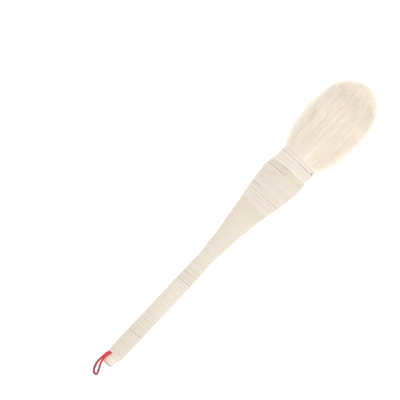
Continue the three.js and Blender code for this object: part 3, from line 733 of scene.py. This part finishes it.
def hair_body():
    """The mass of hair under the surface strands: lobed along its length, and closed."""
    us = np.concatenate([[139.0, 139.4, 139.7, 140.0, 140.5, 141.2, 142.2], np.linspace(143, 186.5, 80), [187, 187.5, 188, 188.4, 188.8, 189.05]])
    n_side = 480
    ang_ = 2 * np.pi * np.arange(n_side) / n_side
    turn = ang_ / (2 * np.pi)
    g_ = np.linspace(141, 189.9, 1500)            # the outline, moved inwards along its normal
    slope_ = np.gradient(hair_r(g_), g_)
    shrink = np.interp(g_, [141, 150, 160, 170, 184], [0.30, 0.30, 0.26, 0.19, 0.14])
    in_u = g_ + shrink * slope_ / np.sqrt(1 + slope_ ** 2)
    in_r = hair_r(g_) - shrink / np.sqrt(1 + slope_ ** 2)
    in_r, in_u = in_r[np.argsort(in_u)], np.sort(in_u)
    rows = []
    for u in us:
        base_ = max(float(np.interp(u, in_u, in_r)), 0.6)
        if u < 142:
            base_ = float(np.interp(u, [139.0, 139.4, 139.6, 140, 140.5, 142], [8.7, 8.8, 9.5, 9.9, 10.1, 10.75]))
        k_ = smooth(u, 140, 150)
        wob = (0.10 * streaks(turn, u * 0.09) + 0.08 * locks(turn, u * 0.16) + 0.02 * lines(turn, u * 0.16) - 0.15) * (0.3 + 0.7 * k_)
        wob = wob * min(1.0, base_ / 5)
        rows.append(np.stack([np.full(n_side, u), (base_ + wob) * np.cos(ang_), (base_ + wob) * np.sin(ang_)], -1))
    verts_ = np.vstack(rows)
    n_ = len(us)
    i_, s_ = np.meshgrid(np.arange(n_ - 1), np.arange(n_side), indexing="ij")
    t_ = (s_ + 1) % n_side
    quads_ = np.stack([i_ * n_side + s_, (i_ + 1) * n_side + s_, (i_ + 1) * n_side + t_, i_ * n_side + t_], -1).reshape(-1, 4)
    verts_ = np.vstack([verts_, [[139.0, 0, 0], [189.2, 0, 0]]])
    a0, a1, e_ = n_ * n_side, n_ * n_side + 1, (n_ - 1) * n_side
    tris_ = np.array([(a0, q, (q + 1) % n_side) for q in range(n_side)] + [(a1, e_ + (q + 1) % n_side, e_ + q) for q in range(n_side)])
    p = put_hair(verts_)
    p[:, 2] = np.maximum(p[:, 2], 0.00030)
    i_, s_ = quads_[:, 0] // n_side, quads_[:, 0] % n_side
    spot = lambda di, ds: np.stack([(s_ + ds) / n_side, 0.02 + 0.96 * (i_ + di) / (n_ - 1)], -1)
    quad_uv_ = np.stack([spot(0, 0), spot(1, 0), spot(1, 1), spot(0, 1)], 1).reshape(-1, 2)
    fan = np.arange(n_side) / n_side
    fans = [np.stack([np.stack([fan + 0.5 / n_side, np.full(n_side, y0)], -1), np.stack([fan + d0 / n_side, np.full(n_side, y1)], -1),
                      np.stack([fan + d1 / n_side, np.full(n_side, y1)], -1)], 1).reshape(-1, 2)
            for y0, y1, d0, d1 in ((0.004, 0.016, 0, 1), (0.996, 0.984, 1, 0))]
    return p, quads_, tris_, {"OFBake": np.concatenate([quad_uv_] + fans)}


# strength of the painted glow at the hair's outline
PAINTED_RIM_GLOW = 0.26


def hair_material(name, strands):
    m = Nodes(name, Roughness=0.55, Specular_IOR_Level=0.3, Sheen_Weight=0.0)
    cloud = m.noise(m.local((140, 420, 420)), 1.0, 3, 0.55)
    if strands:
        tone, along = m.attribute("tone"), m.attribute("along")
        c = m.ramp(tone, [(0.0, (0.66, 0.49, 0.31)), (0.22, (0.92, 0.79, 0.63)), (0.55, (0.98, 0.88, 0.745)), (1.0, (0.99, 0.925, 0.815))])
        c = m.mix(m.scaled(along, 0.0, 0.35, 0.25, 0.0), c, (0.93, 0.83, 0.73))
        c = m.mix(m.scaled(along, 0.7, 1.0, 0.0, 0.5), c, (0.975, 0.93, 0.87))
        c = m.mix(m.scaled(cloud, 0.3, 0.75, 0.0, 0.22), c, (0.93, 0.80, 0.63))
        m.to(m.scaled(m.noise(m.local((300, 1500, 1500)), 1.0, 1, 0.5), 0.2, 0.8, 0.45, 0.65), "Roughness")
        m.to(c, "Base Color")
        outward = m.node("CombineXYZ", {0: m.attribute("out_x"), 1: m.attribute("out_y"), 2: m.attribute("out_z")}).outputs[0]
        edge = m.node("LayerWeight", {"Blend": 0.5, "Normal": outward}).outputs["Facing"]
    else:
        streak = m.noise(m.local((70, 2200, 2200)), 1.0, 4, 0.6)
        c = m.ramp(streak, [(0.3, (0.70, 0.56, 0.415)), (0.5, (0.81, 0.69, 0.565)), (0.7, (0.86, 0.76, 0.65))])
        c = m.mix(m.scaled(cloud, 0.3, 0.75, 0.0, 0.25), c, (0.80, 0.66, 0.49))
        m.to(c, "Base Color")
        m.to(m.bump(streak, 0.0002, 0.8), "Normal")
        edge = m.node("LayerWeight", {"Blend": 0.5}).outputs["Facing"]
    # painted glow: where the hair turns edge-on at the outline it gets a pale bluish emission, standing in for light
    # that passes through the thin layer of hair seen edge-on
    m.bsdf.inputs["Emission Color"].default_value = (0.80, 0.92, 1.0, 1)
    m.to(m.scaled(edge, 0.45, 0.95, 0.0, PAINTED_RIM_GLOW), "Emission Strength")
    m.mat.cycles.emission_sampling = "NONE"
    return m.mat


def strands(name, ue, theta, depth, width, first, segments, tone, material, floor=True, stray=None, run=None):
    """Hairs as fine tapered tubes.  ue: where each ends; theta: its angle in turns; depth: how far its
    tip lies under the outline, in mm; first: where its modelled part begins; run: how far it lies
    down along the outline past that end."""
    n_ = len(ue)
    end = np.minimum(ue + (0 if run is None else run), 188.7) if stray is None else ue + 0.8 * stray * smooth(ue, 160, 180)
    lift = rng.uniform(-0.20, 0.0, n_)
    sides_ = 3
    m_ = segments + 1
    q = np.linspace(0, 1, m_) ** 0.9
    u = first[:, None] + (end - first)[:, None] * q[None]
    # hairs that come out of the collar turn up sharply at its mouth
    from_collar = np.concatenate([[139.1, 139.5], np.zeros(m_ - 2)])[None] + np.where(
        np.arange(m_)[None] < 2, 0, 140.3 + (end[:, None] - 140.3) * np.clip((np.arange(m_) - 2) / max(m_ - 3, 1), 0, 1)[None] ** 0.95)
    u = np.where((first < 139.5)[:, None] & (m_ > 9), from_collar, u)
    re = np.maximum(hair_r(np.minimum(ue, 189.88)) - depth, 0.02)
    curl_in = 0.07
    share = re / (free_r(ue) * (1 - curl_in))
    share = np.minimum(share, 1 - 0.012 * depth.clip(0, 4))
    curl = 1 - re / (share * free_r(ue))
    q_end = np.clip((u - (ue[:, None] - 13)) / 13, 0, 1)
    press = 1 - (1 - share[:, None]) * smooth(u, 139.4, 150)
    r_ = np.where((first < 139.5)[:, None], press, share[:, None]) * free_r(u) * (1 - curl[:, None] * q_end ** 2)
    # surface unevenness: locks that stand a little higher or lower, and drift sideways
    k_ = smooth(u, 140.5, 156)
    th = theta[:, None] + (0.0035 * drift(theta[:, None], u * 0.06) + 0.0016 * streaks(theta[:, None], u * 0.11)) * k_
    r_ = r_ + (0.15 * streaks(theta[:, None], u * 0.09) + 0.12 * locks(theta[:, None], u * 0.16) - 0.22) * k_ * share[:, None] ** 3
    skin_ = hair_r(np.minimum(u, 189.88))
    uneven = (0.13 * streaks(theta[:, None], u * 0.09) + 0.12 * locks(theta[:, None], u * 0.16) + 0.09 * lines(theta[:, None], u * 0.16)) * k_
    skin_ = skin_ + lift[:, None] + uneven * np.minimum(1, skin_ / 5)
    h_ = np.clip(0.5 + 0.5 * (skin_ - r_) / 0.5, 0, 1)
    if stray is None:
        r_ = np.where(u > 145, skin_ + (r_ - skin_) * h_ - 0.5 * h_ * (1 - h_), r_)
    else:
        r_ = r_ + stray[:, None] * smooth(q, 0.0, 1)[None]
    phase = rng.uniform(0, 1000, n_)
    wav = 0.07 * np.sin(u * 0.55 + phase[:, None]) + 0.05 * np.sin(u * 0.23 + 2 * phase[:, None])
    side = (wav + 0.10 * np.sin(u * 0.31 + 3 * phase[:, None])) * k_
    r_ = np.maximum(r_ + wav * 0.7 * k_, 0.01)
    a_ = th * 2 * np.pi
    radial = np.stack([np.zeros_like(a_), np.cos(a_), np.sin(a_)], -1)
    tang = np.stack([np.zeros_like(a_), -np.sin(a_), np.cos(a_)], -1)
    path = np.stack([u, np.zeros_like(u), np.zeros_like(u)], -1) + r_[..., None] * radial + side[..., None] * tang
    path = place(path) * 1000
    if floor:                                    # pressed against the table under the belly
        low = 0.10 + rng.uniform(0, 0.35, n_)[:, None] * np.ones(m_)[None]
        z_ = path[..., 2]
        path[..., 2] = np.where(z_ < low, low - (low - z_) * 0.02, z_)
        path[..., 2] = np.maximum(path[..., 2], 0.08)
    t_ = np.gradient(path, axis=1)
    t_ /= np.linalg.norm(t_, axis=2, keepdims=True)
    ref = radial
    x1 = np.cross(t_, ref)
    x1 /= np.linalg.norm(x1, axis=2, keepdims=True) + 1e-12
    x2 = np.cross(t_, x1)
    spin = rng.uniform(0, 2 * np.pi, n_)[:, None]
    w = (width / 2)[:, None] * (1 - 0.70 * smooth(4 - (end[:, None] - u), 0, 4))
    ring = []
    for s_ in range(sides_):
        b_ = spin + 2 * np.pi * s_ / sides_
        ring.append(path + w[..., None] * (np.cos(b_)[..., None] * x1 + np.sin(b_)[..., None] * x2))
    verts_ = np.stack(ring, 2)                    # hair, ring, side
    flat_ = verts_.reshape(-1, 3)
    h, i_, s_ = np.meshgrid(np.arange(n_), np.arange(m_ - 1), np.arange(sides_), indexing="ij")
    s2_ = (s_ + 1) % sides_
    at = lambda i__, s__: (h * m_ + i__) * sides_ + s__
    quads_ = np.stack([at(i_, s_), at(i_, s2_), at(i_ + 1, s2_), at(i_ + 1, s_)], -1).reshape(-1, 4)
    hh = np.arange(n_) * m_ * sides_
    ee = hh + (m_ - 1) * sides_
    tris_ = np.concatenate([np.stack([hh, hh + 2, hh + 1], -1), np.stack([ee, ee + 1, ee + 2], -1)])
    # every hair has its own small cell in the map
    cols = max(1, int(round(math.sqrt(n_ / 5.5))))
    rows_ = int(math.ceil(n_ / cols))
    cell = np.stack([np.arange(n_) % cols, np.arange(n_) // cols], -1)
    def uv(i__, s__):
        return np.stack([(cell[h.ravel(), 0] + 0.08 + 0.84 * i__.ravel() / (m_ - 1)) / cols,
                         (cell[h.ravel(), 1] + 0.12 + 0.76 * s__.ravel() / sides_) / rows_], -1)
    quad_uv_ = np.stack([uv(i_, s_), uv(i_, s_ + 1), uv(i_ + 1, s_ + 1), uv(i_ + 1, s_)], 1).reshape(-1, 2)
    def cap(at_end):
        x = (cell[:, 0] + (0.92 if at_end else 0.08)) / cols
        y = cell[:, 1] / rows_
        return np.stack([np.stack([x, y + 0.2 / rows_], -1), np.stack([x + 0.02 / cols, y + 0.5 / rows_], -1),
                         np.stack([x, y + 0.8 / rows_], -1)], 1).reshape(-1, 2)
    # short darker streaks, where the hairs part a little: painted shade in the partings between locks
    shade = smooth(shades(theta[:, None], u * 0.2), 0.15, 0.85) * k_
    attr_tone = np.repeat(np.clip(tone[:, None] + 0.08 - 0.27 * shade, 0, 1).ravel(), sides_)
    # the tuft's outward direction at each point, stored for the hair material's painted glow at the outline
    lean = np.interp(u, np.linspace(139, 189.88, 900), np.gradient(hair_r(np.linspace(139, 189.88, 900)), np.linspace(139, 189.88, 900)))
    out_ = np.stack([-lean, np.cos(a_), np.sin(a_)], -1)
    out_ /= np.linalg.norm(out_, axis=2, keepdims=True)
    out_ = np.stack([out_[..., 0] * COS - out_[..., 2] * SIN, out_[..., 1], out_[..., 0] * SIN + out_[..., 2] * COS], -1)
    out_ = np.repeat(out_[:, :, None], sides_, 2)
    attr_along = np.tile(np.repeat(q, sides_), n_)
    obj = build(name, flat_ / 1000, quads_, tris_, {"OFBake": np.concatenate([quad_uv_, cap(False), cap(True)])},
                {"tone": attr_tone, "along": attr_along, "out_x": out_[..., 0].ravel(), "out_y": out_[..., 1].ravel(), "out_z": out_[..., 2].ravel()}, material)
    return obj


def tuft_piece(obj, *nodes):
    start_ = tuple(place([BLEND[0], 0, 0], bowed=False))
    end_ = tuple(place([BLEND[1], 0, 0], bowed=False))
    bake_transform(obj)
    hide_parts(*nodes)
    return obj


GOAT = hair_material("goat_hair_strand", True)
p, quads, tris, body_uv = hair_body()
body = build("inner_hair_mass", p, quads, tris, body_uv, material=hair_material("goat_hair_mass", False))
tuft_piece(body, "inner_hair_tuft")

# where hairs end: spread evenly over the skin of the tuft's front, thinning towards its middle
grid = np.linspace(146, 189.88, 1200)
slope = np.gradient(hair_r(grid), grid)
skin = hair_r(grid) * np.sqrt(1 + slope ** 2)
weight = skin * (0.10 + 0.90 * smooth(grid, 158, 171))
cdf = np.concatenate([[0], np.cumsum((weight[1:] + weight[:-1]) / 2 * np.diff(grid))])
total = cdf[-1]
ends = lambda x: np.interp(x, cdf / total, grid)

N_CLUMP = 1100
clump_u = ends(rng.uniform(0, 1, N_CLUMP))
clump_t = rng.uniform(0, 1, N_CLUMP)
clump_depth = rng.normal(0, 0.03, N_CLUMP)
clump_tone = rng.normal(0, 0.10, N_CLUMP)
clump_xyz = np.stack([clump_u * 1.0, hair_r(clump_u) * np.cos(2 * np.pi * clump_t), hair_r(clump_u) * np.sin(2 * np.pi * clump_t)], -1)

N = 4200
ue = ends(rng.uniform(0, 1, N))
th = rng.uniform(0, 1, N)
xyz = np.stack([ue, hair_r(ue) * np.cos(2 * np.pi * th), hair_r(ue) * np.sin(2 * np.pi * th)], -1)
near = np.empty(N, int)
for c in range(0, N, 2000):
    near[c:c + 2000] = np.argmin(((xyz[c:c + 2000, None] - clump_xyz[None]) ** 2).sum(-1), 1)
pull = rng.uniform(0.15, 0.50, N)
dth = (clump_t[near] - th + 0.5) % 1 - 0.5
th = th + dth * pull
ue = ue + (clump_u[near] - ue) * pull
ue = ue - np.abs(rng.normal(0, 0.75, N)) + 0.1
depth = np.clip(0.10 + clump_depth[near] + rng.exponential(0.12, N), -0.1, 0.7)
run = rng.uniform(1.0, 8.0, N) * (1 - 0.75 * smooth(ue, 170, 184))
ue = np.clip(ue, 146, 189.8)
width = rng.uniform(0.115, 0.165, N)
tone = np.clip(0.58 + clump_tone[near] + 0.36 * lines(th, ue * 0.16) + rng.normal(0, 0.17, N), 0, 1)
share = hair_r(ue) / 15.9
outer = (share > 0.93) | (ue < 168)
first = np.where(outer, HAIR_FROM, np.maximum(HAIR_FROM, ue - 13))

ids = np.where(outer)[0]
parts = np.array_split(ids, max(1, math.ceil(len(ids) * 92 / 150000)))
for j, part in enumerate(parts):
    tuft_piece(strands(f"cover_hair_long_{j + 1}", ue[part], th[part], depth[part], width[part], first[part], 14, tone[part], GOAT, run=run[part]), "outer_hair_cover")
ids = np.where(~outer)[0]
parts = np.array_split(ids, max(1, math.ceil(len(ids) * 62 / 150000)))
for j, part in enumerate(parts):
    tuft_piece(strands(f"cover_hair_front_{j + 1}", ue[part], th[part], depth[part], width[part], first[part], 9, tone[part], GOAT, run=run[part]), "outer_hair_cover")

# a closed coat of long outer hairs, from the collar to past the widest part
M = 2600
th_c = (np.arange(M) + rng.uniform(0, 1, M)) / M
ue_c = 158 + 24 * rng.beta(1.5, 1.1, M)
depth_c = 0.10 + rng.exponential(0.12, M)
run_c = rng.uniform(2, 9, M) * (1 - 0.7 * smooth(ue_c, 168, 184))
tone_c = np.clip(0.56 + 0.08 * streaks(th_c, 14.0) + 0.36 * lines(th_c, ue_c * 0.16) + rng.normal(0, 0.15, M), 0, 1)
for j, part in enumerate(np.array_split(np.arange(M), 2)):
    tuft_piece(strands(f"cover_hair_coat_{j + 1}", ue_c[part], th_c[part], depth_c[part], rng.uniform(0.11, 0.15, len(part)),
                       np.full(len(part), HAIR_FROM), 15, tone_c[part], GOAT, run=run_c[part]), "outer_hair_cover")

# fine stray hairs that soften the outline
F = 2300
ue_f = np.where(rng.uniform(0, 1, F) < 0.35, rng.uniform(143, 165, F), ends(rng.uniform(0, 1, F)))
th_f = rng.uniform(0, 1, F)
stray = rng.exponential(0.6, F) + 0.10
tuft_piece(strands("cover_hair_stray", ue_f, th_f, np.full(F, 0.1), rng.uniform(0.045, 0.075, F), np.maximum(HAIR_FROM, ue_f - 16), 8,
                   np.clip(rng.normal(0.9, 0.10, F), 0, 1), GOAT, stray=np.minimum(stray, 1.9)), "outer_hair_cover")

# ------------------------------------------------------------------ hidden CAD pieces get real materials
def plain(name, low, high, scale, roughness, bump_mm=0.03, metal=0.0):
    m = Nodes(name, Metallic=metal)
    n_ = m.noise(m.local(scale), 1.0, 4, 0.6)
    m.to(m.ramp(n_, [(0.3, low), (0.7, high)]), "Base Color")
    m.to(m.scaled(n_, 0.2, 0.8, roughness - 0.1, roughness + 0.1), "Roughness")
    m.to(m.bump(n_, bump_mm / 1000, 0.6), "Normal")
    return m.mat


hidden = {
    "hair_root_bundle": plain("root_hair", (0.62, 0.49, 0.33), (0.90, 0.81, 0.67), (70, 2200, 2200), 0.6, 0.1),
    "glue_plug": plain("amber_glue", (0.30, 0.12, 0.03), (0.45, 0.22, 0.07), (600, 600, 600), 0.3),
    "root_tie_rear": plain("hemp_tie", (0.42, 0.32, 0.18), (0.72, 0.60, 0.40), (2600, 700, 700), 0.8, 0.08),
    "cord_end_lower": red_cord_material("red_cord_end"),
}
for other, same in (("root_tie_middle", "root_tie_rear"), ("root_tie_front", "root_tie_rear"), ("cord_end_upper", "cord_end_lower")):
    hidden[other] = hidden[same]
for name, material in hidden.items():
    node = frame["nodes"][name]
    if not node.material_slots:
        node.data.materials.append(material)
    for slot_ in node.material_slots:
        slot_.material = material

# ------------------------------------------------------------------ floor and light
def floor_material():
    m = Nodes("studio_floor", Roughness=0.9, Specular_IOR_Level=0.1)
    n_ = m.noise(m.local((3, 3, 3)), 1.0, 2, 0.5)
    m.to(m.ramp(n_, [(0.3, (0.93, 0.93, 0.93)), (0.7, (0.95, 0.95, 0.95))]), "Base Color")
    m.bsdf.inputs["Emission Color"].default_value = (1, 1, 1, 1)
    m.bsdf.inputs["Emission Strength"].default_value = 0.32
    return m.mat


floor = build("studio_floor", np.array([[-3, -3, -0.0001], [3, -3, -0.0001], [3, 3, -0.0001], [-3, 3, -0.0001]]), np.array([[0, 1, 2, 3]]),
              material=floor_material())

world = bpy.data.worlds.new("studio")
bpy.context.scene.world = world
world.use_nodes = True
world.node_tree.nodes["Background"].inputs[0].default_value = (0.965, 0.985, 1.02, 1)
world.node_tree.nodes["Background"].inputs[1].default_value = 0.96


def area(name, where, size, power, colour=(1, 1, 1)):
    data = bpy.data.lights.new(name, "AREA")
    data.shape = "DISK"
    data.size, data.energy, data.color = size, power, colour
    obj = bpy.data.objects.new(name, data)
    bpy.context.collection.objects.link(obj)
    obj.location = where
    obj.rotation_mode = "QUATERNION"
    obj.rotation_quaternion = (-Vector(where)).to_track_quat("-Z", "Y")
    return obj


key = e_z * 1.2 + right * 0.30 - up * 0.05
area("key_light", tuple(key), 0.9, 4.9, (1.0, 0.985, 0.95))

scene = bpy.context.scene
scene.view_settings.view_transform = "Standard"
scene.view_settings.look = "None"
